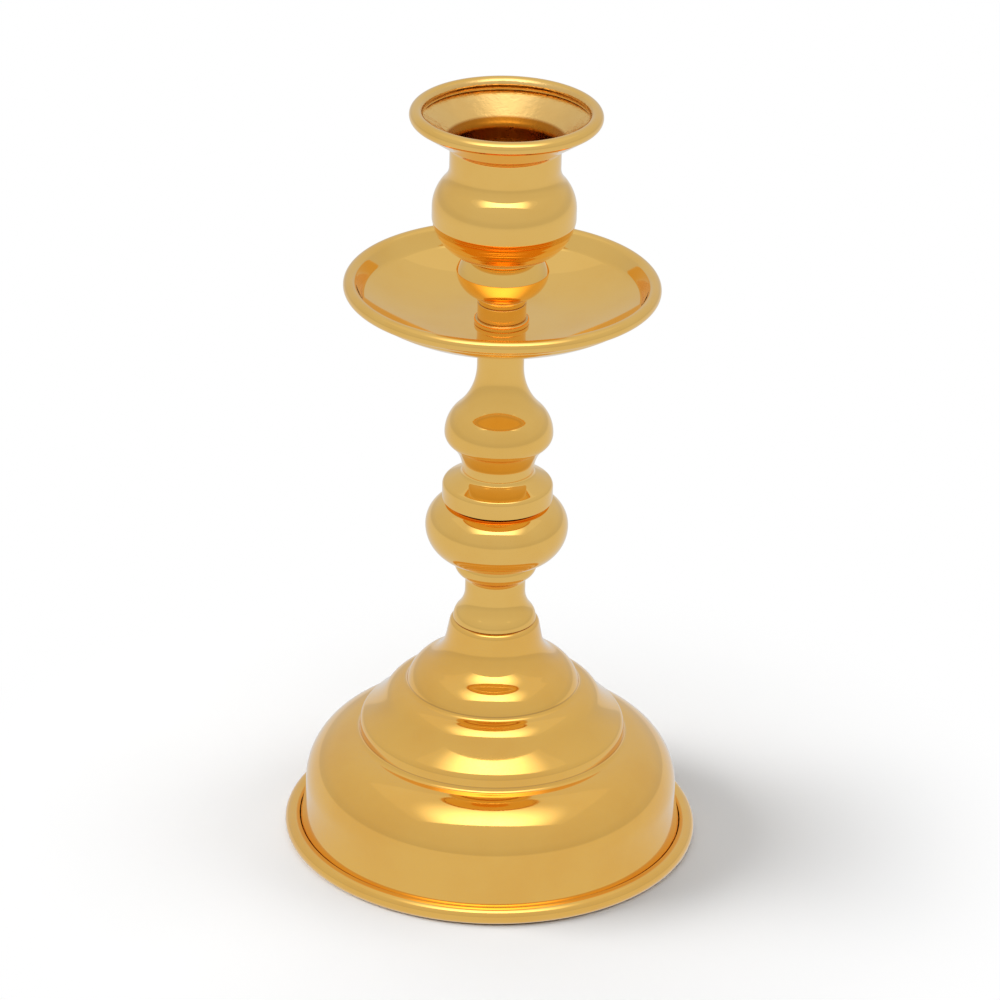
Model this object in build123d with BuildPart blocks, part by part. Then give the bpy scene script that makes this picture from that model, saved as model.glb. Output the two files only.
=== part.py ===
"""Polished brass socket candlestick: spun shells and turned beads clamped on one tie rod.

Millimetres, +Z up, origin at the centre of the foot ring on the table.
Profiles are drawn as radius (local x) against height (local y) and revolved about Z.
"""
import os
from math import acos, asin, atan2, cos, degrees, hypot, radians, sin, sqrt, tan

from build123d import *

# Sheet, rod and fits
sheet = 0.9  # spun brass of the base and the drip pan
cup_sheet = 0.82  # spun brass of the candle cup
fit_gap = 0.1  # radial gap of a spigot in its socket
end_gap = 0.3  # room left past the end of a spigot
roll_gap = 0.3  # slit between the end of a rolled edge and its own sheet
rod_r = 3.0  # M6 tie rod
rod_gap = 0.25  # radial gap of the rod in the turned beads
thread_gap = 0.03  # radial gap that stands for the thread in a nut
rod_end = 2.0  # rod standing out past each nut
rod_chamfer = 0.5
spigot_r = 5.0  # register between two turned beads
spigot_length = 2.0

# Base shell, by the curves of its outer skin from the collar down
# A slope is the angle of the skin's normal over level, in degrees, where one curve ends
collar_r = 11.49  # just under the rounded top edge
collar_bend = 1.6
collar_slope = 10.9
collar_length = 4.157
cove_round = 9.83
cove_slope = 63.3
upper_step_round = 8.85
upper_step_slope = 15.8
upper_crease = 1.49
upper_crease_slope = 76.8
shoulder_round = 7.24
shoulder_slope = 33.3
hollow_round = 27.4
hollow_slope = 50.5
edge_round = 2.83
edge_slope = 3.7
wall_length = 1.57  # straight run between the lower step's edge and its crease
lower_crease = 1.31
lower_crease_slope = 81.5
dome_round = 14.87
skirt_rise = 11.37  # from the middle of the rolled edge to the foot of the dome
skirt_flare = 1.85
base_bead = 2.15  # radius of the rolled edge
foot_grind = 0.12  # flat ground under the rolled edge
base_spigot_r = 6.0  # spigot of the stem foot in the base's hole

# Stem foot: bell, neck and cushion
foot_bell_r = 10.62
foot_bell_swell = 4.2
foot_hollow = 8.0
foot_neck_r = 7.69
foot_neck_length = 4.3
cushion_r = 10.5
cushion_below = 3.1
cushion_above = 2.4
cushion_top_r = 9.36

# Knop: the widest bead
knop_r = 18.15
knop_seat_r = 12.1
knop_below = 8.26
knop_above = 7.44
knop_top_r = 13.93

# Collar disc: conical top, upright edge and a shadow gap over the knop
disc_r = 14.03
disc_boss_r = 12.6
disc_gap = 0.55
disc_side = 3.7
disc_cone = 4.1
disc_top_r = 9.1
disc_edge = 2.0
disc_crown = 0.3  # rise of the cone's curve over its chord

# Pear: baluster under the drip pan
pear_foot_r = 8.9
pear_low_hollow = 10.1
pear_low_swell = 3.4
pear_belly_r = 13.74
pear_top_swell = 9.5
pear_top_hollow = 21.0
pear_neck_r = 5.9
pear_neck_length = 8.675

# Drip pan, and the ring and spacer above it
pan_r = 39.66  # over the rolled edge
pan_bead = 1.68
pan_flat_r = 12.0
pan_dish_rise = 6.38  # from the pan's floor to the foot of its lip
pan_lip_run = 3.72  # from the foot of the lip to the middle of the rolled edge
pan_lip_rise = 3.41
pan_lip_bend = 2.0
pan_spigot_r = 4.5  # spigot on the pear that centres the pan, ring and spacer
pan_spigot_grip = 1.8  # how far that spigot reaches into the spacer
ring_r = 6.9
ring_height = 1.5
ring_round = 0.5
spacer_r = 6.15
spacer_height = 4.1
spacer_chamfer = 0.3

# Bowl-shaped knob under the cup
knob_groove_r = 5.9
knob_groove_height = 1.1
knob_bead_r = 6.7
knob_bead_height = 0.9
knob_root_r = 6.4
knob_r = 11.6
knob_below = 6.7
knob_above = 4.05
knob_top_r = 8.4
knob_spigot_grip = 1.5

# Candle cup
cup_belly_r = 17.96
cup_floor_r = 8.2
cup_bowl = 11.1  # rise of the round under the belly
cup_band = 1.48
cup_swell = 10.33
cup_hollow = 5.94
cup_neck_r = 13.82
cup_neck_length = 5.63
cup_bend = 0.8
rim_run = 8.38  # from the neck to the middle of the rolled rim
rim_rise = 7.85
rim_bead = 1.75

# Clamping hardware
clamp_washer_r = 9.4
clamp_washer_height = 2.0
lock_washer_r = 5.6
lock_washer_height = 1.6
lock_washer_slit = 1.0
lock_washer_slant = 30.0
cup_washer_r = 6.0
cup_washer_height = 1.2
washer_gap = 0.2  # radial gap of a washer on the rod
washer_edge = 0.25
nut_flats = 10.0
nut_height = 5.0
nut_bevel = 30.0  # slope of the cone that trims a nut's corners


def ogee_height(neck, hollow, belly, swell):
    # Height from a belly's widest ring to the neck that its hollow arc leads into
    return sqrt((hollow + swell) ** 2 - (neck + hollow - belly + swell) ** 2)


def ogee_turn(neck, hollow, belly, swell):
    # Angle from level at which the swelling arc meets the hollow arc
    return degrees(atan2(ogee_height(neck, hollow, belly, swell), neck + hollow - belly + swell))


def behind(edge, at, depth):
    # Direction to the right of an edge, seen along its run, times a depth
    along = edge % at
    return Vector(along.Y, -along.X) * depth


def back_of_sheet(skin, depth):
    # Draws the far face and the two cut ends of a sheet from the edges of its near face in order
    corners = [skin[0] @ 0 + behind(skin[0], 0, depth)]
    for edge, following in zip(skin, skin[1:]):
        ends = behind(edge, 1, 1) + behind(following, 0, 1)
        corners.append(edge @ 1 + ends * (2 * depth / ends.length**2))
    corners.append(skin[-1] @ 1 + behind(skin[-1], 1, depth))
    for edge, start, end in zip(skin, corners, corners[1:]):
        if edge.geom_type == GeomType.LINE:
            Line(start, end)
        else:
            ThreePointArc(start, edge @ 0.5 + behind(edge, 0.5, depth), end)
    Line(skin[0] @ 0, corners[0])
    Line(skin[-1] @ 1, corners[-1])


def roll_turn(bead, thickness):
    # Angle through which a sheet rolls outside in, until its end is the roll gap off the sheet itself
    return 270 + degrees(asin((bead - thickness - roll_gap) / bead))


def slope_way(slope):
    return Vector(cos(radians(slope)), sin(radians(slope)))


def reach(slope, curves):
    # How far out and down a row of curves leads from a slope, each given by its radius and end slope
    total = Vector(0, 0)
    for size, end_slope in curves:
        swell = 1 if end_slope < slope else -1
        total += (slope_way(end_slope) - slope_way(slope)) * size * swell
        slope = end_slope
    return total


def draw_curves(start, slope, curves):
    # The same row of curves as arcs, swelling where the slope falls and hollow where it rises
    arcs = []
    for size, end_slope in curves:
        swell = 1 if end_slope < slope else -1
        first = slope if end_slope < slope else 180 + slope
        arcs.append(CenterArc(start - slope_way(slope) * size * swell, size, first, end_slope - slope))
        start = arcs[-1] @ 1
        slope = end_slope
    return arcs


def bead_core(top_z, seat_z, seat_spigot_r, seat_spigot_length):
    # Socket in the top, bore for the rod and spigot under the seat of a turned bead
    socket_r = spigot_r + fit_gap
    socket_floor = top_z - spigot_length - end_gap
    spigot_foot = seat_z - seat_spigot_length
    return [
        (socket_r, top_z),
        (socket_r, socket_floor),
        (bore_r, socket_floor),
        (bore_r, spigot_foot),
        (seat_spigot_r, spigot_foot),
        (seat_spigot_r, seat_z),
    ]


# Radii and heights along the base's skin
bore_r = rod_r + rod_gap
steps = [
    (cove_round, cove_slope),
    (upper_step_round, upper_step_slope),
    (upper_crease, upper_crease_slope),
    (shoulder_round, shoulder_slope),
    (hollow_round, hollow_slope),
    (edge_round, edge_slope),
]
dome = [(lower_crease, lower_crease_slope), (dome_round, 0)]
top_bend_reach = slope_way(collar_slope) * collar_bend
collar_reach = slope_way(collar_slope - 90) * collar_length
wall_reach = slope_way(edge_slope - 90) * wall_length
skin_reach = collar_reach + reach(collar_slope, steps) + wall_reach + reach(edge_slope, dome)
base_hollow = base_bead - sheet
base_roll_z = base_bead - foot_grind
dome_r = collar_r + skin_reach.X
dome_z = base_roll_z + skirt_rise
base_roll_r = dome_r + skirt_flare + base_hollow
bend_r = collar_r - top_bend_reach.X
bend_z = dome_z - skin_reach.Y - top_bend_reach.Y
base_top = bend_z + collar_bend

# Heights of the seats, one piece on top of the other
foot_neck_z = base_top + ogee_height(foot_neck_r, foot_hollow, foot_bell_r, foot_bell_swell)
cushion_foot_z = foot_neck_z + foot_neck_length
cushion_z = cushion_foot_z + cushion_below
foot_top = cushion_z + cushion_above
knop_z = foot_top + knop_below
knop_top = knop_z + knop_above
disc_rim_z = knop_top + disc_gap
disc_shoulder_z = disc_rim_z + disc_side
disc_top = disc_shoulder_z + disc_cone
pear_belly_z = disc_top + ogee_height(pear_foot_r, pear_low_hollow, pear_belly_r, pear_low_swell)
pear_neck_z = pear_belly_z + ogee_height(pear_neck_r, pear_top_hollow, pear_belly_r, pear_top_swell)
pear_top = pear_neck_z + pear_neck_length
pan_floor = pear_top + sheet
ring_top = pan_floor + ring_height
spacer_top = ring_top + spacer_height
knob_bead_z = spacer_top + knob_groove_height
knob_root_z = knob_bead_z + knob_bead_height
knob_z = knob_root_z + knob_below
knob_top = knob_z + knob_above
cup_bowl_z = knob_top + cup_bowl
cup_belly_z = cup_bowl_z + cup_band
cup_neck_z = cup_belly_z + ogee_height(cup_neck_r, cup_hollow, cup_belly_r, cup_swell)
cup_flare_z = cup_neck_z + cup_neck_length
rim_r = cup_neck_r + rim_run
rim_z = cup_flare_z + rim_rise

# Clamping stack at both ends of the rod
clamp_top = base_top - sheet
clamp_foot = clamp_top - clamp_washer_height
lock_foot = clamp_foot - lock_washer_height
base_nut_foot = lock_foot - nut_height
rod_foot = base_nut_foot - rod_end
cup_floor = knob_top + cup_sheet
cup_nut_foot = cup_floor + cup_washer_height
rod_top = cup_nut_foot + nut_height + rod_end
pan_hole_r = pan_spigot_r + fit_gap
pan_spigot_top = ring_top + pan_spigot_grip
washer_bore_r = rod_r + washer_gap
nut_bore_r = rod_r + thread_gap

os.makedirs("parts", exist_ok=True)

# Base shell: stepped dome spun from sheet, with its edge rolled outwards and ground flat
skirt_out = skirt_flare + base_hollow
skirt_round = (skirt_out**2 + skirt_rise**2 - base_hollow**2) / (2 * skirt_flare)
skirt_turn = degrees(atan2(skirt_rise, skirt_round - skirt_out))
skirt_reach = skirt_round - base_hollow
slit = (skirt_round - roll_gap) ** 2 - skirt_reach**2 - base_bead**2
base_roll_turn = 360 - degrees(acos(slit / (2 * skirt_reach * base_bead)))
with BuildPart() as base_shell:
    with BuildSketch(Plane.XZ):
        with BuildLine():
            top = Line((base_spigot_r + fit_gap, base_top), (bend_r, base_top))
            bend = CenterArc((bend_r, bend_z), collar_bend, 90, collar_slope - 90)
            collar = Line(bend @ 1, bend @ 1 + collar_reach)
            upper = draw_curves(collar @ 1, collar_slope, steps)
            wall = Line(upper[-1] @ 1, upper[-1] @ 1 + wall_reach)
            lower = draw_curves(wall @ 1, edge_slope, dome)
            skirt = CenterArc((dome_r + skirt_round, dome_z), skirt_round, 180, skirt_turn)
            roll = CenterArc((base_roll_r, base_roll_z), base_hollow, 180 + skirt_turn, base_roll_turn)
            back_of_sheet([top, bend, collar, *upper, wall, *lower, skirt, roll], sheet)
        make_face()
    revolve(axis=Axis.Z)
    split(bisect_by=Plane.XY, keep=Keep.TOP)
base_shell.part.label = "base_shell"
export_step(base_shell.part, "parts/base_shell.step")

# Stem foot: bell on the base's collar, waisted neck and cushion
bell_turn = ogee_turn(foot_neck_r, foot_hollow, foot_bell_r, foot_bell_swell)
with BuildPart() as stem_foot:
    with BuildSketch(Plane.XZ):
        with BuildLine():
            bell = CenterArc((foot_bell_r - foot_bell_swell, base_top), foot_bell_swell, 0, bell_turn)
            CenterArc((foot_neck_r + foot_hollow, foot_neck_z), foot_hollow, 180 + bell_turn, -bell_turn)
            neck = Line((foot_neck_r, foot_neck_z), (foot_neck_r, cushion_foot_z))
            TangentArc((cushion_r, cushion_z), neck @ 1, tangent=(0, -1))
            round_top = TangentArc((cushion_r, cushion_z), (cushion_top_r, foot_top), tangent=(0, 1))
            core = bead_core(foot_top, base_top, base_spigot_r, sheet - fit_gap)
            Polyline(round_top @ 1, *core, bell @ 0)
        make_face()
    revolve(axis=Axis.Z)
stem_foot.part.label = "stem_foot"
export_step(stem_foot.part, "parts/stem_foot.step")

# Knop: full round bead with flat seats
with BuildPart() as knop:
    with BuildSketch(Plane.XZ):
        with BuildLine():
            lower = TangentArc((knop_r, knop_z), (knop_seat_r, foot_top), tangent=(0, -1))
            upper = TangentArc((knop_r, knop_z), (knop_top_r, knop_top), tangent=(0, 1))
            core = bead_core(knop_top, foot_top, spigot_r, spigot_length)
            Polyline(upper @ 1, *core, lower @ 1)
        make_face()
    revolve(axis=Axis.Z)
knop.part.label = "knop"
export_step(knop.part, "parts/knop.step")

# Collar disc: stands on a boss, so that a dark line shows under its edge
with BuildPart() as collar_disc:
    with BuildSketch(Plane.XZ) as disc_section:
        with BuildLine():
            side = Line((disc_r, disc_rim_z), (disc_r, disc_shoulder_z))
            cone = SagittaArc(side @ 1, (disc_top_r, disc_top), -disc_crown)
            core = bead_core(disc_top, knop_top, spigot_r, spigot_length)
            Polyline(cone @ 1, *core, (disc_boss_r, knop_top), (disc_boss_r, disc_rim_z), side @ 0)
        make_face()
        shoulder = disc_section.vertices().sort_by_distance((disc_r, disc_shoulder_z))[0]
        fillet(shoulder, disc_edge)
    revolve(axis=Axis.Z)
collar_disc.part.label = "collar_disc"
export_step(collar_disc.part, "parts/collar_disc.step")

# Pear: baluster with a long spigot that carries the pan, ring and spacer
pear_low_turn = ogee_turn(pear_foot_r, pear_low_hollow, pear_belly_r, pear_low_swell)
pear_top_turn = ogee_turn(pear_neck_r, pear_top_hollow, pear_belly_r, pear_top_swell)
with BuildPart() as pear_baluster:
    with BuildSketch(Plane.XZ):
        with BuildLine():
            waist = CenterArc(
                (pear_foot_r + pear_low_hollow, disc_top), pear_low_hollow, 180, -pear_low_turn
            )
            CenterArc(
                (pear_belly_r - pear_low_swell, pear_belly_z), pear_low_swell, -pear_low_turn, pear_low_turn
            )
            CenterArc((pear_belly_r - pear_top_swell, pear_belly_z), pear_top_swell, 0, pear_top_turn)
            CenterArc(
                (pear_neck_r + pear_top_hollow, pear_neck_z),
                pear_top_hollow,
                180 + pear_top_turn,
                -pear_top_turn,
            )
            Polyline(
                (pear_neck_r, pear_neck_z),
                (pear_neck_r, pear_top),
                (pan_spigot_r, pear_top),
                (pan_spigot_r, pan_spigot_top),
                (bore_r, pan_spigot_top),
                (bore_r, disc_top - spigot_length),
                (spigot_r, disc_top - spigot_length),
                (spigot_r, disc_top),
                waist @ 0,
            )
        make_face()
    revolve(axis=Axis.Z)
pear_baluster.part.label = "pear_baluster"
export_step(pear_baluster.part, "parts/pear_baluster.step")

# Drip pan: dish spun from sheet, with a steep lip and its edge rolled over outwards
pan_roll_r = pan_r - pan_bead
pan_lip = Vector(pan_roll_r - pan_lip_run, pan_floor + pan_dish_rise)
pan_roll = pan_lip + Vector(pan_lip_run, pan_lip_rise)
dish_run = pan_lip.X - pan_flat_r
dish_round = (dish_run**2 + pan_dish_rise**2) / (2 * pan_dish_rise)
dish_turn = degrees(asin(dish_run / dish_round))
lip_centre = pan_lip + Vector(-sin(radians(dish_turn)), cos(radians(dish_turn))) * pan_lip_bend
lip_way = pan_roll - lip_centre
lip_slope = degrees(atan2(lip_way.Y, lip_way.X) + asin((pan_bead + pan_lip_bend) / lip_way.length))
with BuildPart() as drip_pan:
    with BuildSketch(Plane.XZ):
        with BuildLine():
            floor = Line((pan_hole_r, pan_floor), (pan_flat_r, pan_floor))
            dish = CenterArc((pan_flat_r, pan_floor + dish_round), dish_round, -90, dish_turn)
            bend = CenterArc(lip_centre, pan_lip_bend, dish_turn - 90, lip_slope - dish_turn)
            roll = CenterArc(pan_roll, pan_bead, 90 + lip_slope, -roll_turn(pan_bead, sheet))
            lip = Line(bend @ 1, roll @ 0)
            back_of_sheet([floor, dish, bend, lip, roll], sheet)
        make_face()
    revolve(axis=Axis.Z)
drip_pan.part.label = "drip_pan"
export_step(drip_pan.part, "parts/drip_pan.step")

# Ring that presses the pan down, and the plain spacer on it
with BuildPart() as pan_ring:
    with BuildSketch(Plane.XY.offset(pan_floor)):
        Circle(ring_r)
        Circle(pan_hole_r, mode=Mode.SUBTRACT)
    extrude(amount=ring_height)
    rims = pan_ring.edges().filter_by(GeomType.CIRCLE).group_by(SortBy.RADIUS)[-1]
    fillet(rims.sort_by(Axis.Z)[-1], ring_round)
pan_ring.part.label = "pan_ring"
export_step(pan_ring.part, "parts/pan_ring.step")

with BuildPart() as spacer_tube:
    with BuildSketch(Plane.XY.offset(ring_top)):
        Circle(spacer_r)
        Circle(pan_hole_r, mode=Mode.SUBTRACT)
    extrude(amount=spacer_height)
    rims = spacer_tube.edges().filter_by(GeomType.CIRCLE).group_by(SortBy.RADIUS)[-1]
    chamfer(rims.sort_by(Axis.Z)[-1], spacer_chamfer)
spacer_tube.part.label = "spacer_tube"
export_step(spacer_tube.part, "parts/spacer_tube.step")

# Knob: small bowl on a grooved root, between spacer and cup
with BuildPart() as cup_knob:
    with BuildSketch(Plane.XZ):
        with BuildLine():
            bowl = TangentArc((knob_r, knob_z), (knob_root_r, knob_root_z), tangent=(0, -1))
            crown = TangentArc((knob_r, knob_z), (knob_top_r, knob_top), tangent=(0, 1))
            bead = ThreePointArc(
                (knob_root_r, knob_root_z),
                (knob_bead_r, (knob_bead_z + knob_root_z) / 2),
                (knob_root_r, knob_bead_z),
            )
            Polyline(
                crown @ 1,
                (pan_spigot_r, knob_top),
                (pan_spigot_r, knob_top + cup_sheet - fit_gap),
                (bore_r, knob_top + cup_sheet - fit_gap),
                (bore_r, spacer_top - knob_spigot_grip),
                (pan_spigot_r, spacer_top - knob_spigot_grip),
                (pan_spigot_r, spacer_top),
                (knob_groove_r, spacer_top),
                (knob_groove_r, knob_bead_z),
                bead @ 1,
            )
        make_face()
    revolve(axis=Axis.Z)
cup_knob.part.label = "cup_knob"
export_step(cup_knob.part, "parts/cup_knob.step")

# Candle cup: vase spun from sheet, with a flared mouth and a rolled rim
bowl_run = cup_belly_r - cup_floor_r
bowl_round = (bowl_run**2 + cup_bowl**2) / (2 * bowl_run)
bowl_turn = degrees(atan2(cup_bowl, bowl_round - bowl_run))
cup_turn = ogee_turn(cup_neck_r, cup_hollow, cup_belly_r, cup_swell)
mouth_lean = degrees(atan2(rim_rise, rim_run) - asin(rim_bead / hypot(rim_run, rim_rise)))
bend_reach = cup_bend * (1 - sin(radians(mouth_lean))) / cos(radians(mouth_lean))
flare_foot = Vector(cup_neck_r, cup_flare_z)
flare_way = Vector(cos(radians(mouth_lean)), sin(radians(mouth_lean)))
flare_length = sqrt(rim_run**2 + rim_rise**2 - rim_bead**2)
with BuildPart() as candle_cup:
    with BuildSketch(Plane.XZ):
        with BuildLine():
            floor = Line((pan_hole_r, knob_top), (cup_floor_r, knob_top))
            bowl = CenterArc((cup_belly_r - bowl_round, cup_bowl_z), bowl_round, -bowl_turn, bowl_turn)
            band = Line((cup_belly_r, cup_bowl_z), (cup_belly_r, cup_belly_z))
            swell = CenterArc((cup_belly_r - cup_swell, cup_belly_z), cup_swell, 0, cup_turn)
            hollow = CenterArc((cup_neck_r + cup_hollow, cup_neck_z), cup_hollow, 180 + cup_turn, -cup_turn)
            neck = Line((cup_neck_r, cup_neck_z), (cup_neck_r, cup_flare_z - bend_reach))
            bend = CenterArc(
                (cup_neck_r + cup_bend, cup_flare_z - bend_reach), cup_bend, 180, mouth_lean - 90
            )
            flare = Line(flare_foot + flare_way * bend_reach, flare_foot + flare_way * flare_length)
            roll = CenterArc((rim_r, rim_z), rim_bead, mouth_lean - 90, roll_turn(rim_bead, cup_sheet))
            back_of_sheet([floor, bowl, band, swell, hollow, neck, bend, flare, roll], -cup_sheet)
        make_face()
    revolve(axis=Axis.Z)
candle_cup.part.label = "candle_cup"
export_step(candle_cup.part, "parts/candle_cup.step")

# Tie rod through the whole stack
with BuildPart() as tie_rod:
    with BuildSketch(Plane.XY.offset(rod_foot)):
        Circle(rod_r)
    extrude(amount=rod_top - rod_foot)
    chamfer(tie_rod.edges().filter_by(GeomType.CIRCLE), rod_chamfer)
tie_rod.part.label = "tie_rod"
export_step(tie_rod.part, "parts/tie_rod.step")

# Flat washers: in the cup and under the base's collar
flat_washers = {
    "cup_washer": (cup_floor, cup_washer_r, cup_washer_height),
    "clamp_washer": (clamp_foot, clamp_washer_r, clamp_washer_height),
}
for name, (foot_z, outer_r, height) in flat_washers.items():
    with BuildPart() as washer:
        with BuildSketch(Plane.XY.offset(foot_z)):
            Circle(outer_r)
            Circle(washer_bore_r, mode=Mode.SUBTRACT)
        extrude(amount=height)
        chamfer(washer.edges().filter_by(GeomType.CIRCLE).group_by(SortBy.RADIUS)[-1], washer_edge)
    washer.part.label = name
    export_step(washer.part, f"parts/{name}.step")

# Split lock washer, with a slanted slit
with BuildPart() as lock_washer:
    with BuildSketch(Plane.XY.offset(lock_foot)):
        Circle(lock_washer_r)
        Circle(washer_bore_r, mode=Mode.SUBTRACT)
    extrude(amount=lock_washer_height)
    with Locations(Location((0, 0, lock_foot + lock_washer_height / 2), (lock_washer_slant, 0, 0))):
        Box(
            lock_washer_r,
            lock_washer_slit,
            lock_washer_r,
            align=(Align.MIN, Align.CENTER, Align.CENTER),
            mode=Mode.SUBTRACT,
        )
lock_washer.part.label = "lock_washer"
export_step(lock_washer.part, "parts/lock_washer.step")

# Hexagon nuts: the upper one in the cup, the lower one under the base
nut_corner_r = nut_flats / sqrt(3)
nut_trim = (nut_corner_r - nut_flats / 2) * tan(radians(nut_bevel))
for name, foot_z in {"cup_nut": cup_nut_foot, "base_nut": base_nut_foot}.items():
    with BuildPart() as nut:
        with BuildSketch(Plane.XY.offset(foot_z)):
            RegularPolygon(nut_flats / 2, 6, major_radius=False)
            Circle(nut_bore_r, mode=Mode.SUBTRACT)
        extrude(amount=nut_height)
        with BuildSketch(Plane.XZ):
            with BuildLine():
                Polyline(
                    (0, foot_z),
                    (nut_flats / 2, foot_z),
                    (nut_corner_r, foot_z + nut_trim),
                    (nut_corner_r, foot_z + nut_height - nut_trim),
                    (nut_flats / 2, foot_z + nut_height),
                    (0, foot_z + nut_height),
                    close=True,
                )
            make_face()
        revolve(axis=Axis.Z, mode=Mode.INTERSECT)
    nut.part.label = name
    export_step(nut.part, f"parts/{name}.step")
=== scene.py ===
from math import acos, asin, atan, atan2, ceil, cos, degrees, hypot, pi, radians, sin, sqrt

import bmesh
import bpy
from mathutils import Matrix, Quaternion, Vector


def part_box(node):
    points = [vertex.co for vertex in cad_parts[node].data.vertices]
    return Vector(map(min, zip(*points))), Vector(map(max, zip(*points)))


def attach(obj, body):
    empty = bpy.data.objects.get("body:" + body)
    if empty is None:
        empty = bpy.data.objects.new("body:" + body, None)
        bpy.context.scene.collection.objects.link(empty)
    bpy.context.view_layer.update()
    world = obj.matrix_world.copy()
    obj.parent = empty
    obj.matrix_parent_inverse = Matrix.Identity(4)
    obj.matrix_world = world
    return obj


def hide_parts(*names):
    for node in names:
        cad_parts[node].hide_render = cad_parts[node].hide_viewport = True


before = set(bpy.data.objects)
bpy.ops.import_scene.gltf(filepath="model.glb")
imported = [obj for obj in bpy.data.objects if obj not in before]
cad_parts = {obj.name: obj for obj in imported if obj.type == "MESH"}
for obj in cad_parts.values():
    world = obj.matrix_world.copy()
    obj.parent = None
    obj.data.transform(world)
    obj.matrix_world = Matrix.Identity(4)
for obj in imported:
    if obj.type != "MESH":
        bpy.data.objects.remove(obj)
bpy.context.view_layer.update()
scene = bpy.context.scene
scene.view_settings.view_transform = "Standard"
millimetre = 0.001  # outlines are drawn in millimetres and scaled at the end
print("frame:", len(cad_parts), "nodes loaded")


def low(node):
    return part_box(node)[0].z / millimetre


def high(node):
    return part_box(node)[1].z / millimetre


# outlines turned on the stem's axis

lathe = {
    "turnSteps": 192,  # faces round the axis
    "arcAngle": 3.0,  # degrees of an arc for one edge
    "arcEdge": 0.15,  # or this length, on small arcs
    "arcSteps": 5,  # fewest edges of an arc
    "guard": 0.4,  # extra points this near to the ends of a straight run
    "guardShare": 0.25,  # or this share of a short one
    "cornerTurn": 20.0,  # degrees of turn that make a corner
    "cornerSteps": 4,
    "cornerProfile": 0.5,  # round
    "rollGap": 0.14,  # slit at the end of a rolled edge
    "merge": 0.0001,
}


def leftOf(way):
    return Vector((-way.y, way.x))


def turned(way, angle):
    across = way.x * cos(angle) - way.y * sin(angle)
    along = way.x * sin(angle) + way.y * cos(angle)
    return Vector((across, along))


def angleOf(way):
    return atan2(way.y, way.x)


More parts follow.
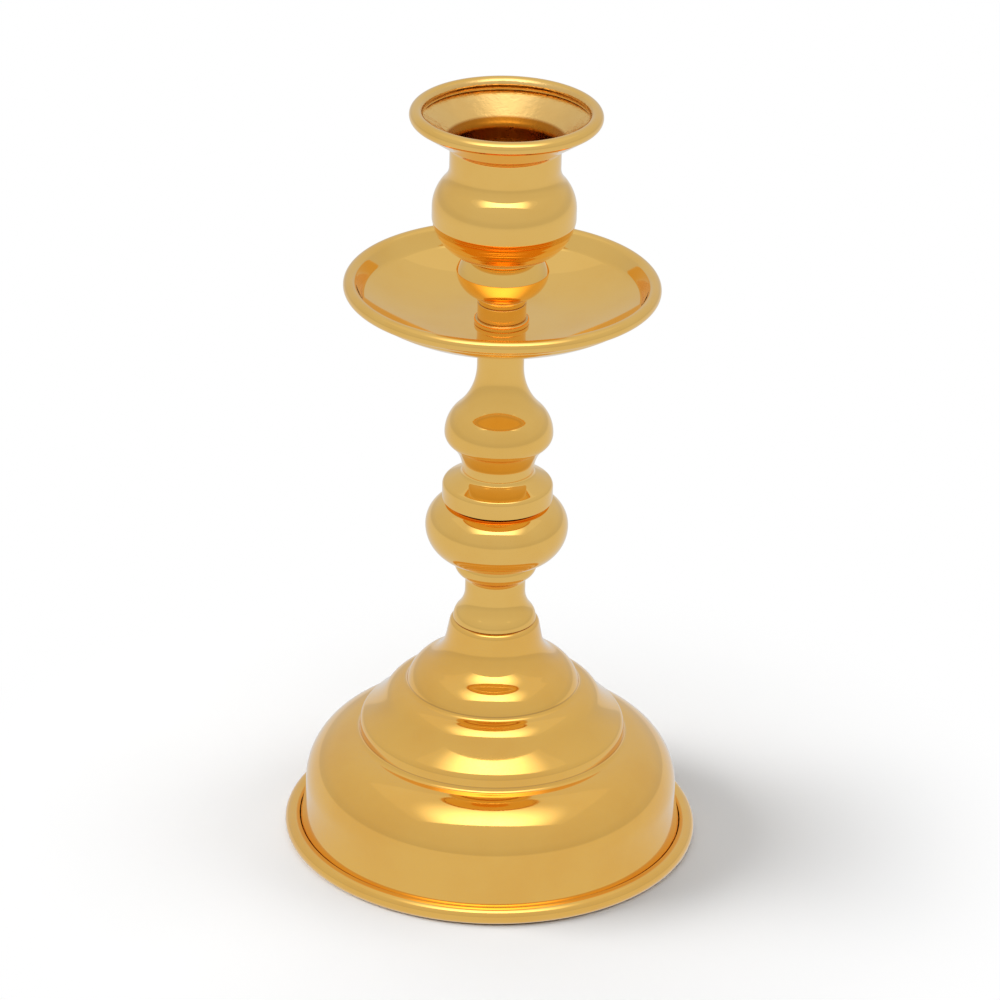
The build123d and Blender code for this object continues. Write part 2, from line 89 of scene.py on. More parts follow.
class Outline:
    # a section as radius and height, drawn with a moving tip
    def __init__(self, radius, height, bm=None):
        self.bm = bm if bm else bmesh.new()
        self.tip = self.bm.verts.new((radius, 0, height))
        self.home = Vector((radius, height))
        self.heading = None
        self.runs = []

    def spot(self):
        return Vector((self.tip.co.x, self.tip.co.z))

    def step(self, spot):
        made = bmesh.ops.extrude_vert_indiv(self.bm, verts=[self.tip])
        self.tip = made["verts"][0]
        self.tip.co = (spot.x, 0, spot.y)

    def keep(self, start, leave, arrive, centre, turn):
        self.runs.append((start, self.spot(), leave, arrive, centre, turn))
        self.heading = arrive

    def line(self, radius, height):
        start = self.spot()
        end = Vector((radius, height))
        way = (end - start).normalized()
        guard = way * min(lathe["guard"], (end - start).length * lathe["guardShare"])
        for spot in (start + guard, end - guard, end):
            self.step(spot)
        self.keep(start, way, way, None, 0)
        return self

    def path(self, *points):
        for point in points:
            self.line(*point)
        return self

    def arc(self, radius, height, turn):
        # about a centre, degrees anticlockwise
        centre = Vector((radius, height))
        start = self.spot()
        length = radians(abs(turn)) * (start - centre).length
        steps = ceil(min(abs(turn) / lathe["arcAngle"], length / lathe["arcEdge"]))
        made = bmesh.ops.spin(
            self.bm,
            geom=[self.tip],
            cent=(radius, 0, height),
            axis=(0, -1, 0),
            angle=radians(turn),
            steps=max(lathe["arcSteps"], steps),
        )
        self.tip = [one for one in made["geom_last"] if isinstance(one, bmesh.types.BMVert)][0]
        side = 1 if turn > 0 else -1
        leave = leftOf(start - centre).normalized() * side
        self.keep(start, leave, turned(leave, radians(turn)), centre, turn)
        return self

    def sweep(self, radius, height, leave):
        # arc that leaves along a given way and ends at a point
        chord = Vector((radius, height)) - self.spot()
        half = angleOf(chord) - angleOf(leave)
        half = atan2(sin(half), cos(half))
        centre = self.spot() + leftOf(leave) * (chord.length / (2 * sin(half)))
        return self.arc(centre.x, centre.y, degrees(2 * half))

    def bend(self, radius, height):
        # arc that goes on from the last run
        return self.sweep(radius, height, self.heading)

    def ahead(self, length):
        end = self.spot() + self.heading * length
        return self.line(end.x, end.y)

    def curve(self, size, turn):
        # arc of a given radius that goes on from the last run, degrees to the left
        centre = self.spot() + leftOf(self.heading) * size * (1 if turn > 0 else -1)
        return self.arc(centre.x, centre.y, turn)

    def rise(self, radius, height):
        # arc that ends straight up at its widest ring
        chord = Vector((radius, height)) - self.spot()
        return self.sweep(radius, height, turned(chord.normalized(), angleOf(chord) - pi / 2))

    def bow(self, radius, height, swell):
        # arc that stands a given way to the left of its chord
        chord = Vector((radius, height)) - self.spot()
        half = 2 * atan(2 * swell / chord.length)
        return self.sweep(radius, height, turned(chord.normalized(), half))

    def sheetBack(self, depth):
        # the far side of a sheet, to the right of the runs so far, back to the start
        front = list(self.runs)
        end, arrive = front[-1][1], front[-1][3]
        cut = end - leftOf(arrive) * depth
        self.line(cut.x, cut.y)
        for start, end, leave, arrive, centre, turn in reversed(front):
            begin = end - leftOf(arrive) * depth
            if (begin - self.spot()).length > lathe["merge"]:
                self.step(begin)
            if centre:
                self.arc(centre.x, centre.y, -turn)
            else:
                back = start - leftOf(leave) * depth
                self.line(back.x, back.y)
        return self.shut()

    def shut(self):
        return self.line(self.home.x, self.home.y)

    def roundCorners(self, size):
        bmesh.ops.remove_doubles(self.bm, verts=self.bm.verts, dist=lathe["merge"])
        corners = []
        for vert in self.bm.verts:
            one, other = (edge.other_vert(vert).co - vert.co for edge in vert.link_edges)
            if pi - one.angle(other) > radians(lathe["cornerTurn"]):
                corners.append(vert)
        bmesh.ops.bevel(
            self.bm,
            geom=corners,
            offset=size,
            offset_type="OFFSET",
            segments=lathe["cornerSteps"],
            profile=lathe["cornerProfile"],
            affect="VERTICES",
            clamp_overlap=True,
            material=-1,
        )

    def turn(self):
        bm = self.bm
        bmesh.ops.spin(
            bm,
            geom=bm.verts[:] + bm.edges[:],
            cent=(0, 0, 0),
            axis=(0, 0, 1),
            angle=2 * pi,
            steps=lathe["turnSteps"],
            use_merge=True,
        )
        bmesh.ops.remove_doubles(bm, verts=bm.verts, dist=lathe["merge"])
        bmesh.ops.recalc_face_normals(bm, faces=bm.faces)
        return bm


def addObject(bm, name, *materials):
    mesh = bpy.data.meshes.new(name)
    bm.to_mesh(mesh)
    bm.free()
    for material in materials:
        mesh.materials.append(material)
    made = bpy.data.objects.new(name, mesh)
    scene.collection.objects.link(made)
    return made


def finishPiece(bm, piece, *materials, smooth=True):
    bmesh.ops.scale(bm, vec=(millimetre,) * 3, verts=bm.verts)
    for face in bm.faces:
        face.smooth = smooth
    made = addObject(bm, piece["name"], *materials)
    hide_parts(piece["node"])
    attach(made, "root")
    print("piece:", piece["name"], len(made.data.polygons), "faces")


# shader maths and nodes


class Value:
    # a node's output that Python operators work on
    def __init__(self, maker, socket):
        self.maker = maker
        self.socket = socket

    def maths(self, operation, first, second=0.0):
        return self.maker.make("Math", "Value", {"operation": operation}, {0: first, 1: second})

    def __add__(self, other):
        return self.maths("ADD", self, other)

    def __radd__(self, other):
        return self.maths("ADD", other, self)

    def __sub__(self, other):
        return self.maths("SUBTRACT", self, other)

    def __rsub__(self, other):
        return self.maths("SUBTRACT", other, self)

    def __mul__(self, other):
        return self.maths("MULTIPLY", self, other)

    def __rmul__(self, other):
        return self.maths("MULTIPLY", other, self)

    def __truediv__(self, other):
        return self.maths("DIVIDE", self, other)

    def __pow__(self, other):
        return self.maths("POWER", self, other)

    def __abs__(self):
        return self.maths("ABSOLUTE", self)


class NodeMaker:
    def __init__(self, tree):
        self.tree = tree
        tree.nodes.clear()

    def make(self, kind, gives, settings=None, sockets=None):
        node = self.tree.nodes.new("ShaderNode" + kind)
        for key, value in (settings or {}).items():
            setattr(node, key, value)
        for key, value in (sockets or {}).items():
            if isinstance(value, Value):
                self.tree.links.new(value.socket, node.inputs[key])
            else:
                node.inputs[key].default_value = value
        if isinstance(gives, tuple):
            return tuple(Value(self, node.outputs[give]) for give in gives)
        return Value(self, node.outputs[gives]) if gives is not None else node

    def span(self, value, fromLow, fromHigh, toLow=0.0, toHigh=1.0):
        # smooth step of a value into a new range
        sockets = {
            "Value": value,
            "From Min": fromLow,
            "From Max": fromHigh,
            "To Min": toLow,
            "To Max": toHigh,
        }
        return self.make("MapRange", "Result", {"interpolation_type": "SMOOTHSTEP"}, sockets)

    def noise(self, vector, scale, detail=2.0, roughness=0.5):
        sockets = {"Vector": vector, "Scale": scale, "Detail": detail, "Roughness": roughness}
        return self.make("TexNoise", 0, None, sockets)

    def blend(self, factor, first, second):
        # mix of two colours, whose sockets are 6 and 7
        return self.make("Mix", 2, {"data_type": "RGBA"}, {0: factor, 6: first, 7: second})

    def surface(self, relief, height, sockets):
        # metal with a bump, and the material's output
        bump = {"Strength": 1.0, "Distance": relief, "Height": height}
        sockets["Normal"] = self.make("Bump", "Normal", None, bump)
        sockets["Metallic"] = 1.0
        shader = self.make("BsdfPrincipled", "BSDF", None, sockets)
        self.make("OutputMaterial", None, None, {"Surface": shader})


def newMaterial(name):
    material = bpy.data.materials.new(name)
    material.use_nodes = True
    return material, NodeMaker(material.node_tree)


# polished brass

brassLook = {
    "gold": (0.985, 0.615, 0.16, 1),
    "deepGold": (0.96, 0.57, 0.13, 1),
    "residue": (0.50, 0.27, 0.07, 1),  # old polish that stays in the seams
    "shine": 0.035,  # roughness where it is cleanest
    "smear": 0.03,  # roughness that a smear adds
    "smearScale": 42.0,
    "smearEdges": (0.35, 0.75),  # noise where a smear starts and is full
    "lineScale": 2600.0,  # fine rings left by the lathe
    "lineDull": 0.015,
    "lineHeight": 0.035,  # as a share of the ripple's height
    "rippleScale": 95.0,
    "grainScale": 620.0,
    "grainHeight": 0.10,
    "relief": 0.000012,
    "seamWidth": 0.0003,
    "seamStain": 0.55,
    "seamDull": 0.12,
    "lacquer": 0.35,
    "lacquerRoughness": 0.03,
}


def seamMask(nodes, height, seams, width):
    # one at each seam, fading to nothing over a width
    mask = 0.0
    for seam in seams:
        mask = mask + nodes.span(abs(height - seam * millimetre), 0.0, width, 1.0, 0.0)
    return mask


def brass(name, look, seams):
    material, nodes = newMaterial(name)
    place = nodes.make("TexCoord", "Object")
    x, y, z = nodes.make("SeparateXYZ", ("X", "Y", "Z"), None, {"Vector": place})
    fromAxis = (x * x + y * y) ** 0.5
    section = nodes.make("CombineXYZ", "Vector", None, {"X": fromAxis, "Y": z})
    lines = nodes.noise(section, look["lineScale"], detail=3.0, roughness=0.7)
    smear = nodes.noise(place, look["smearScale"], detail=4.0, roughness=0.6)
    smear = nodes.span(smear, *look["smearEdges"])
    ripple = nodes.noise(place, look["rippleScale"], detail=1.0)
    grain = nodes.noise(place, look["grainScale"], detail=3.0, roughness=0.6)
    seam = seamMask(nodes, z, seams, look["seamWidth"])
    clean = nodes.blend(smear, look["gold"], look["deepGold"])
    colour = nodes.blend(seam * look["seamStain"], clean, look["residue"])
    roughness = look["shine"] + smear * look["smear"]
    roughness = roughness + lines * look["lineDull"] + seam * look["seamDull"]
    height = ripple + grain * look["grainHeight"] + lines * look["lineHeight"]
    if "pitScale" in look:
        pits = nodes.noise(place, look["pitScale"], detail=4.0, roughness=0.75)
        pits = nodes.span(pits, *look["pitEdges"])
        height = height + pits * look["pitDepth"]
        roughness = roughness + pits * look["pitDull"]
    # painted shade: the cup's inside is darkened round the throat, and also made rougher there
    if "throat" in look:
        lower, upper = (edge * millimetre for edge in look["throat"])
        below, above = (fade * millimetre for fade in look["throatFade"])
        dull = nodes.span(z, lower - below, lower) * nodes.span(z, upper - above, upper, 1.0, 0.0)
        colour = nodes.blend(dull, colour, look["paintedThroatShade"])
        roughness = roughness + dull * look["throatDull"]
    sockets = {
        "Base Color": colour,
        "Roughness": roughness,
        "Coat Weight": look["lacquer"],
        "Coat Roughness": look["lacquerRoughness"],
    }
    nodes.surface(look["relief"], height, sockets)
    return material


# zinc-plated steel of the hidden clamp

steelLook = {
    "bright": (0.66, 0.65, 0.60, 1),
    "dull": (0.48, 0.46, 0.40, 1),
    "patchScale": 160.0,
    "patchEdges": (0.3, 0.7),
    "patchDull": 0.12,
    "grainScale": 1500.0,
    "grainDull": 0.1,
    "shine": 0.28,
    "relief": 0.00002,
}


def steel(name, look):
    material, nodes = newMaterial(name)
    place = nodes.make("TexCoord", "Object")
    patch = nodes.noise(place, look["patchScale"], detail=4.0, roughness=0.6)
    patch = nodes.span(patch, *look["patchEdges"])
    grain = nodes.noise(place, look["grainScale"], detail=3.0, roughness=0.6)
    sockets = {
        "Base Color": nodes.blend(patch, look["bright"], look["dull"]),
        "Roughness": look["shine"] + patch * look["patchDull"] + grain * look["grainDull"],
    }
    nodes.surface(look["relief"], grain, sockets)
    return material


# shared sizes of the stack

stack = {
    "boreRadius": 3.25,
    "socketRadius": 5.1,
    "socketDepth": 2.3,
    "spigotRadius": 5.0,
    "spigotLength": 2.0,
    "pinRadius": 4.5,  # spigots through the thin sheets
    "holeRadius": 4.6,
    "sheet": 0.9,
}


def turnPiece(outline, piece, materialName, seams):
    outline.roundCorners(piece["cornerRound"])
    material = brass(materialName, brassLook, seams)
    finishPiece(outline.turn(), piece, material)


def drawCore(outline, top, seat, spigotRadius, spigotLength):
    # socket, bore and spigot of a turned bead, from its top edge to its seat
    outline.path(
        (stack["socketRadius"], top),
        (stack["socketRadius"], top - stack["socketDepth"]),
        (stack["boreRadius"], top - stack["socketDepth"]),
        (stack["boreRadius"], seat - spigotLength),
        (spigotRadius, seat - spigotLength),
        (spigotRadius, seat),
    )
    outline.shut()


def ogeeRise(neck, hollow, belly, swell):
    # height of two tangent arcs, a hollow one at the neck and a swelling one at the belly
    return sqrt((hollow + swell) ** 2 - (neck + hollow - belly + swell) ** 2)


def ogeeTurn(neck, hollow, belly, swell):
    # degrees that each of the two turns
    return degrees(atan2(ogeeRise(neck, hollow, belly, swell), neck + hollow - belly + swell))


def rollTurn(bead, sheet):
    # how far an edge rolls over before it nearly meets its own sheet
    return 270 + degrees(asin((bead - sheet - lathe["rollGap"]) / bead))


# stepped base, spun from one sheet

base = {
    "name": "steppedBase",
    "node": "base_shell",
    "slot": "spun_brass",
    "holeRadius": 6.1,
    "collarRadius": 11.49,
    "collarBend": 1.6,
    "collarSlope": 10.9,  # degrees that the skin faces up
    "collarLength": 4.157,
    "upperCurves": ((9.83, 63.3), (8.85, 15.8)),  # radius and the slope at its end
    "lowerCurves": ((1.49, 76.8), (7.24, 33.3), (27.4, 50.5), (2.83, 3.7)),
    "wallLength": 1.57,
    "domeCurves": ((1.31, 81.5), (14.87, 0.0)),
    "skirtDrop": 11.37,
    "skirtFlare": 1.83,
    "bead": 2.15,
    "cornerRound": 0.3,
}
baseLook = dict(
    brassLook,
    gold=(0.985, 0.575, 0.12, 1),
    deepGold=(0.96, 0.53, 0.10, 1),
    shine=0.05,
    smear=0.045,
    rippleScale=70.0,
    relief=0.00003,
    lacquer=0.6,
)


def drawCurves(outline, slope, curves):
    # arcs that follow on, each to the slope at its end
    for size, end in curves:
        outline.curve(size, end - slope)
        slope = end
    return slope


def makeBase():
    top = high(base["node"])
    slope = base["collarSlope"]
    bendRadius = base["collarRadius"] - base["collarBend"] * cos(radians(slope))
    outline = Outline(base["holeRadius"], top)
    outline.line(bendRadius, top)
    outline.arc(bendRadius, top - base["collarBend"], slope - 90)
    outline.ahead(base["collarLength"])
    slope = drawCurves(outline, slope, base["upperCurves"])
    upperFoot = outline.spot().y
    slope = drawCurves(outline, slope, base["lowerCurves"])
    outline.ahead(base["wallLength"])
    lowerFoot = outline.spot().y
    drawCurves(outline, slope, base["domeCurves"])
    domeRadius, domeFoot = outline.spot()
    hollow = base["bead"] - stack["sheet"]
    skirtOut = base["skirtFlare"] + hollow
    skirtRound = (skirtOut**2 + base["skirtDrop"] ** 2 - hollow**2) / (2 * base["skirtFlare"])
    skirtTurn = degrees(atan2(base["skirtDrop"], skirtRound - skirtOut))
    outline.arc(domeRadius + skirtRound, domeFoot, skirtTurn)
    reach = skirtRound - hollow
    slit = (skirtRound - lathe["rollGap"]) ** 2 - reach**2 - base["bead"] ** 2
    rolled = 360 - degrees(acos(slit / (2 * reach * base["bead"])))
    outline.arc(domeRadius + skirtOut, domeFoot - base["skirtDrop"], rolled)
    outline.sheetBack(stack["sheet"])
    outline.roundCorners(base["cornerRound"])
    bm = outline.turn()
    for vert in bm.verts:  # the foot is ground flat
        vert.co.z = max(vert.co.z, 0)
    material = brass("baseBrass", baseLook, [top, upperFoot, lowerFoot])
    finishPiece(bm, base, material)


makeBase()

# bell, neck and cushion on the base

foot = {
    "name": "stemFoot",
    "node": "stem_foot",
    "slot": "turned_brass",
    "bellRadius": 10.62,
    "bellSwell": 4.2,
    "hollow": 8.0,
    "neckRadius": 7.69,
    "neckLength": 4.3,
    "cove": 2.4,
    "coveDrop": 1.5,
    "coveTurn": 62.0,
    "cushionRadius": 10.5,
    "cushionBelow": 3.1,
    "cushionTopRadius": 9.36,
    "spigotRadius": 6.0,
    "cornerRound": 0.15,
}


def makeFoot():
    seat = high(base["node"])
    top = high(foot["node"])
    bell = (foot["neckRadius"], foot["hollow"], foot["bellRadius"], foot["bellSwell"])
    neckFoot = seat + ogeeRise(*bell)
    neckTop = neckFoot + foot["neckLength"]
    outline = Outline(foot["bellRadius"], seat)
    outline.arc(foot["bellRadius"] - foot["bellSwell"], seat, ogeeTurn(*bell))
    outline.arc(foot["neckRadius"] + foot["hollow"], neckFoot, -ogeeTurn(*bell))
    outline.line(foot["neckRadius"], neckTop - foot["coveDrop"])
    outline.arc(foot["neckRadius"] + foot["cove"], neckTop - foot["coveDrop"], -foot["coveTurn"])
    outline.bend(foot["cushionRadius"], neckTop + foot["cushionBelow"])
    outline.bend(foot["cushionTopRadius"], top)
    drawCore(outline, top, seat, foot["spigotRadius"], seat - low(foot["node"]))
    turnPiece(outline, foot, "footBrass", [seat, top])


makeFoot()

# widest bead of the stem

knop = {
    "name": "stemKnop",
    "node": "knop",
    "slot": "turned_brass",
    "radius": 18.15,
    "seatRadius": 12.1,
    "below": 8.5,
    "topRadius": 10.9,
    "cornerRound": 0.2,
}


def makeKnop():
    seat = low(knop["node"]) + stack["spigotLength"]
    top = high(knop["node"])
    outline = Outline(knop["seatRadius"], seat)
    outline.rise(knop["radius"], seat + knop["below"])
    outline.bend(knop["topRadius"], top)
    drawCore(outline, top, seat, stack["spigotRadius"], stack["spigotLength"])
    turnPiece(outline, knop, "knopBrass", [seat, top])


makeKnop()

# disc with a conical top, over a shadow gap

disc = {
    "name": "collarDisc",
    "node": "collar_disc",
    "slot": "turned_brass",
    "radius": 14.03,
    "bossRadius": 13.2,
    "gap": 0.4,
    "side": 3.5,
    "topRadius": 9.1,
    "edge": 1.6,
    "coneSlope": 62.0,  # degrees that the cone faces up
    "coneLength": 3.79,
    "cornerRound": 0.06,
}


def makeDisc():
    seat = low(disc["node"]) + stack["spigotLength"]
    top = high(disc["node"])
    rim = seat + disc["gap"]
    side = rim + disc["side"]
    outline = Outline(disc["bossRadius"], seat)
    outline.path((disc["bossRadius"], rim), (disc["radius"], rim), (disc["radius"], side))
    outline.arc(disc["radius"] - disc["edge"], side, disc["coneSlope"])
    outline.ahead(disc["coneLength"])
    outline.bend(disc["topRadius"], top)
    drawCore(outline, top, seat, stack["spigotRadius"], stack["spigotLength"])
    turnPiece(outline, disc, "discBrass", [])


makeDisc()

# pear-shaped baluster under the pan

pear = {
    "name": "pearBaluster",
    "node": "pear_baluster",
    "slot": "turned_brass",
    "footRadius": 9.05,
    "lowHollow": 10.1,
    "lowSwell": 3.4,
    "bellyRadius": 13.74,
    "topSwell": 9.0,
    "topHollow": 16.3,
    "neckRadius": 5.9,
    "cornerRound": 0.06,
}


def makePear():
    seat = low(pear["node"]) + stack["spigotLength"]
    neckTop = low("drip_pan")
    spigotTop = high(pear["node"])
    lower = (pear["footRadius"], pear["lowHollow"], pear["bellyRadius"], pear["lowSwell"])
    upper = (pear["neckRadius"], pear["topHollow"], pear["bellyRadius"], pear["topSwell"])
    belly = seat + ogeeRise(*lower)
    neckFoot = belly + ogeeRise(*upper)
    outline = Outline(pear["footRadius"], seat)
    outline.arc(pear["footRadius"] + pear["lowHollow"], seat, -ogeeTurn(*lower))
    outline.arc(pear["bellyRadius"] - pear["lowSwell"], belly, ogeeTurn(*lower))
    outline.arc(pear["bellyRadius"] - pear["topSwell"], belly, ogeeTurn(*upper))
    outline.arc(pear["neckRadius"] + pear["topHollow"], neckFoot, -ogeeTurn(*upper))
    outline.path(
        (pear["neckRadius"], neckTop),
        (stack["pinRadius"], neckTop),
        (stack["pinRadius"], spigotTop),
        (stack["boreRadius"], spigotTop),
        (stack["boreRadius"], seat - stack["spigotLength"]),
        (stack["spigotRadius"], seat - stack["spigotLength"]),
        (stack["spigotRadius"], seat),
    )
    outline.shut()
    turnPiece(outline, pear, "pearBrass", [neckTop])


makePear()

# drip pan, spun from one sheet

pan = {
    "name": "dripPan",
    "node": "drip_pan",
    "slot": "spun_brass",
    "radius": 39.66,
    "bead": 1.68,
    "flatRadius": 12.0,
    "dishRise": 6.5,
    "lipRun": 3.72,
    "lipRise": 3.29,
    "lipBend": 2.0,
    "cornerRound": 0.15,
}


def makePan():
    floor = low(pan["node"]) + stack["sheet"]
    roll = Vector((pan["radius"] - pan["bead"], floor + pan["dishRise"] + pan["lipRise"]))
    lip = roll - Vector((pan["lipRun"], pan["lipRise"]))
    run = lip.x - pan["flatRadius"]
    dish = (run**2 + pan["dishRise"] ** 2) / (2 * pan["dishRise"])
    turn = asin(run / dish)
    hollow = lip + turned(Vector((0, pan["lipBend"])), turn)
    slope = angleOf(roll - hollow) + asin((pan["bead"] + pan["lipBend"]) / (roll - hollow).length)
    crest = roll + turned(Vector((0, pan["bead"])), slope)
    outline = Outline(stack["holeRadius"], floor)
    outline.line(pan["flatRadius"], floor)
    outline.arc(pan["flatRadius"], floor + dish, degrees(turn))
    outline.arc(hollow.x, hollow.y, degrees(slope - turn))
    outline.line(crest.x, crest.y)
    outline.arc(roll.x, roll.y, -rollTurn(pan["bead"], stack["sheet"]))
    outline.sheetBack(stack["sheet"])
    turnPiece(outline, pan, "panBrass", [])


makePan()

# ring and spacer on the pan

ring = {
    "name": "panRing",
    "node": "pan_ring",
    "slot": "turned_brass",
    "radius": 6.9,
    "edge": 0.5,
    "cornerRound": 0.1,
}
spacer = {
    "name": "spacerTube",
    "node": "spacer_tube",
    "slot": "turned_brass",
    "radius": 6.15,
    "edge": 0.3,
    "cornerRound": 0.1,
}


def makeTube(tube):
    seat = low(tube["node"])
    top = high(tube["node"])
    outline = Outline(stack["holeRadius"], seat)
    outline.path((tube["radius"], seat), (tube["radius"], top - tube["edge"]))
    outline.arc(tube["radius"] - tube["edge"], top - tube["edge"], 90)
    outline.line(stack["holeRadius"], top)
    outline.shut()
    turnPiece(outline, tube, tube["name"] + "Brass", [seat, top])


makeTube(ring)
makeTube(spacer)

# bowl-shaped knob under the cup

knob = {
    "name": "cupKnob",
    "node": "cup_knob",
    "slot": "turned_brass",
    "grooveRadius": 5.9,
    "grooveHeight": 1.1,
    "beadRadius": 6.7,
    "beadHeight": 0.9,
    "rootRadius": 6.4,
    "radius": 11.6,
    "below": 6.7,
    "topRadius": 9.1,
    "topSwell": 0.2,
    "cornerRound": 0.12,
}


def makeKnob():
    seat = high("spacer_tube")
    top = low("candle_cup")
    beadFoot = seat + knob["grooveHeight"]
    root = beadFoot + knob["beadHeight"]
    outline = Outline(knob["grooveRadius"], seat)
    outline.path((knob["grooveRadius"], beadFoot), (knob["rootRadius"], beadFoot))
    outline.bow(knob["rootRadius"], root, knob["rootRadius"] - knob["beadRadius"])
    outline.rise(knob["radius"], root + knob["below"])
    outline.bow(knob["topRadius"], top, -knob["topSwell"])
    outline.path(
        (stack["pinRadius"], top),
        (stack["pinRadius"], high(knob["node"])),
        (stack["boreRadius"], high(knob["node"])),
        (stack["boreRadius"], low(knob["node"])),
        (stack["pinRadius"], low(knob["node"])),
        (stack["pinRadius"], seat),
    )
    outline.shut()
    turnPiece(outline, knob, "knobBrass", [seat, beadFoot, root, top])


makeKnob()

# candle cup, spun from one sheet

cup = {
    "name": "candleCup",
    "node": "candle_cup",
    "slot": "spun_brass",
    "sheet": 0.82,
    "floorRadius": 8.9,
    "bellyRadius": 17.96,
    "bowl": 11.1,
    "band": 1.48,
    "swell": 10.33,
    "hollow": 5.94,
    "neckRadius": 13.82,
    "neckLength": 5.63,
    "bend": 1.5,
    "mouthRun": 8.38,
    "mouthRise": 7.85,
    "bead": 1.75,
    "rings": 8,  # left by the spinning, round the bowl below its widest
    "ringShare": 0.96,  # of the bowl's arc
    "ringSwell": 0.1,
    "throatBelow": 3.0,  # painted shade this far below and above the bend of the mouth
    "throatAbove": 2.1,
    "insideLean": 0.2,  # how far a face of the inside looks to the axis
    "cornerRound": 0.12,
}
cupInside = dict(
    brassLook,
    gold=(0.95, 0.62, 0.22, 1),
    deepGold=(0.88, 0.53, 0.16, 1),
    shine=0.10,
    smear=0.08,
    relief=0.00002,
    pitScale=420.0,
    pitEdges=(0.42, 0.62),
    pitDepth=0.9,
    pitDull=0.08,
    lacquer=0.0,
    paintedThroatShade=(0.46, 0.16, 0.012, 1),  # painted shade round the throat, where the deep inside opens
    throatFade=(1.5, 0.6),  # millimetres at its lower and upper edge
    throatDull=0.12,
)


def makeCup():
    seat = low(cup["node"])
    bowlTop = seat + cup["bowl"]
    belly = bowlTop + cup["band"]
    swell = (cup["neckRadius"], cup["hollow"], cup["bellyRadius"], cup["swell"])
    neckFoot = belly + ogeeRise(*swell)
    neckTop = neckFoot + cup["neckLength"]
    bowlRun = cup["bellyRadius"] - cup["floorRadius"]
    bowlRound = (bowlRun**2 + cup["bowl"] ** 2) / (2 * bowlRun)
    rollRadius = cup["neckRadius"] + cup["mouthRun"]
    rollHeight = neckTop + cup["mouthRise"]
    reach = hypot(cup["mouthRun"], cup["mouthRise"])
    lean = atan2(cup["mouthRise"], cup["mouthRun"]) - asin(cup["bead"] / reach)
    bendReach = cup["bend"] * (1 - sin(lean)) / cos(lean)
    flareLength = sqrt(reach**2 - cup["bead"] ** 2)
    outline = Outline(stack["holeRadius"], seat)
    outline.line(cup["floorRadius"], seat)
    middle = Vector((cup["bellyRadius"] - bowlRound, bowlTop))
    bowlTurn = atan2(cup["bowl"], bowlRound - bowlRun)
    ringTurn = bowlTurn * cup["ringShare"] / cup["rings"]
    for _ in range(cup["rings"]):
        end = middle + turned(outline.spot() - middle, ringTurn)
        outline.bow(end.x, end.y, -cup["ringSwell"])
    outline.arc(middle.x, middle.y, degrees(bowlTurn * (1 - cup["ringShare"])))
    outline.line(cup["bellyRadius"], belly)
    outline.arc(cup["bellyRadius"] - cup["swell"], belly, ogeeTurn(*swell))
    outline.arc(cup["neckRadius"] + cup["hollow"], neckFoot, -ogeeTurn(*swell))
    outline.line(cup["neckRadius"], neckTop - bendReach)
    outline.arc(cup["neckRadius"] + cup["bend"], neckTop - bendReach, degrees(lean) - 90)
    outline.line(cup["neckRadius"] + flareLength * cos(lean), neckTop + flareLength * sin(lean))
    outline.arc(rollRadius, rollHeight, rollTurn(cup["bead"], cup["sheet"]))
    outline.sheetBack(-cup["sheet"])
    outline.roundCorners(cup["cornerRound"])
    bm = outline.turn()
    for face in bm.faces:  # the inside is left rougher, up to the rolled rim
        spot = face.calc_center_median()
        fromAxis = hypot(spot.x, spot.y)
        outward = face.normal.x * spot.x + face.normal.y * spot.y
        inward = outward < -cup["insideLean"] * fromAxis
        if inward and fromAxis < rollRadius - cup["bead"] + cup["sheet"]:
            face.material_index = 1
    throat = (neckTop - cup["throatBelow"], neckTop + cup["throatAbove"])
    outside = brass("cupBrass", brassLook, [seat])
    inside = brass("cupInsideBrass", dict(cupInside, throat=throat), [seat])
    finishPiece(bm, cup, outside, inside)


makeCup()

# threaded tie rod and its nuts and washers

rod = {
    "name": "threadedRod",
    "node": "tie_rod",
    "slot": "plated_steel",
    "radius": 3.0,
    "rootRadius": 2.45,
    "pitch": 1.0,
    "crest": 0.12,  # flat at the thread's crest, as a share of the pitch
    "threadLength": 16.0,  # at each end, with a plain shank between
    "turnSteps": 32,
}


def makeThread(bm, bottom, top):
    # turns the thread a pitch past both ends, then trims and caps it there
    older = set(bm.verts)
    turns = ceil((top - bottom) / rod["pitch"]) + 2
    start = bottom - rod["pitch"]
    crest = rod["crest"] * rod["pitch"]
    outline = Outline(rod["rootRadius"], start, bm)
    for radius, height in (
        (rod["radius"], (rod["pitch"] - crest) / 2),
        (rod["radius"], (rod["pitch"] + crest) / 2),
        (rod["rootRadius"], rod["pitch"]),
    ):
        outline.step(Vector((radius, start + height)))
    fresh = set(bm.verts) - older
    bmesh.ops.spin(
        bm,
        geom=list(fresh) + list({edge for vert in fresh for edge in vert.link_edges}),
        cent=(0, 0, 0),
        axis=(0, 0, 1),
        dvec=(0, 0, rod["pitch"] / rod["turnSteps"]),
        angle=2 * pi * turns,
        steps=rod["turnSteps"] * turns,
    )
    bmesh.ops.remove_doubles(bm, verts=list(set(bm.verts) - older), dist=lathe["merge"])
    for height, side in ((bottom, -1), (top, 1)):
        fresh = set(bm.verts) - older
        edges = {edge for vert in fresh for edge in vert.link_edges}
        faces = {face for vert in fresh for face in vert.link_faces}
        cut = bmesh.ops.bisect_plane(
            bm,
            geom=list(fresh) + list(edges) + list(faces),
            plane_co=(0, 0, height),
            plane_no=(0, 0, side),
            clear_outer=True,
        )
        rim = [one for one in cut["geom_cut"] if isinstance(one, bmesh.types.BMEdge)]
        bmesh.ops.contextual_create(bm, geom=rim)


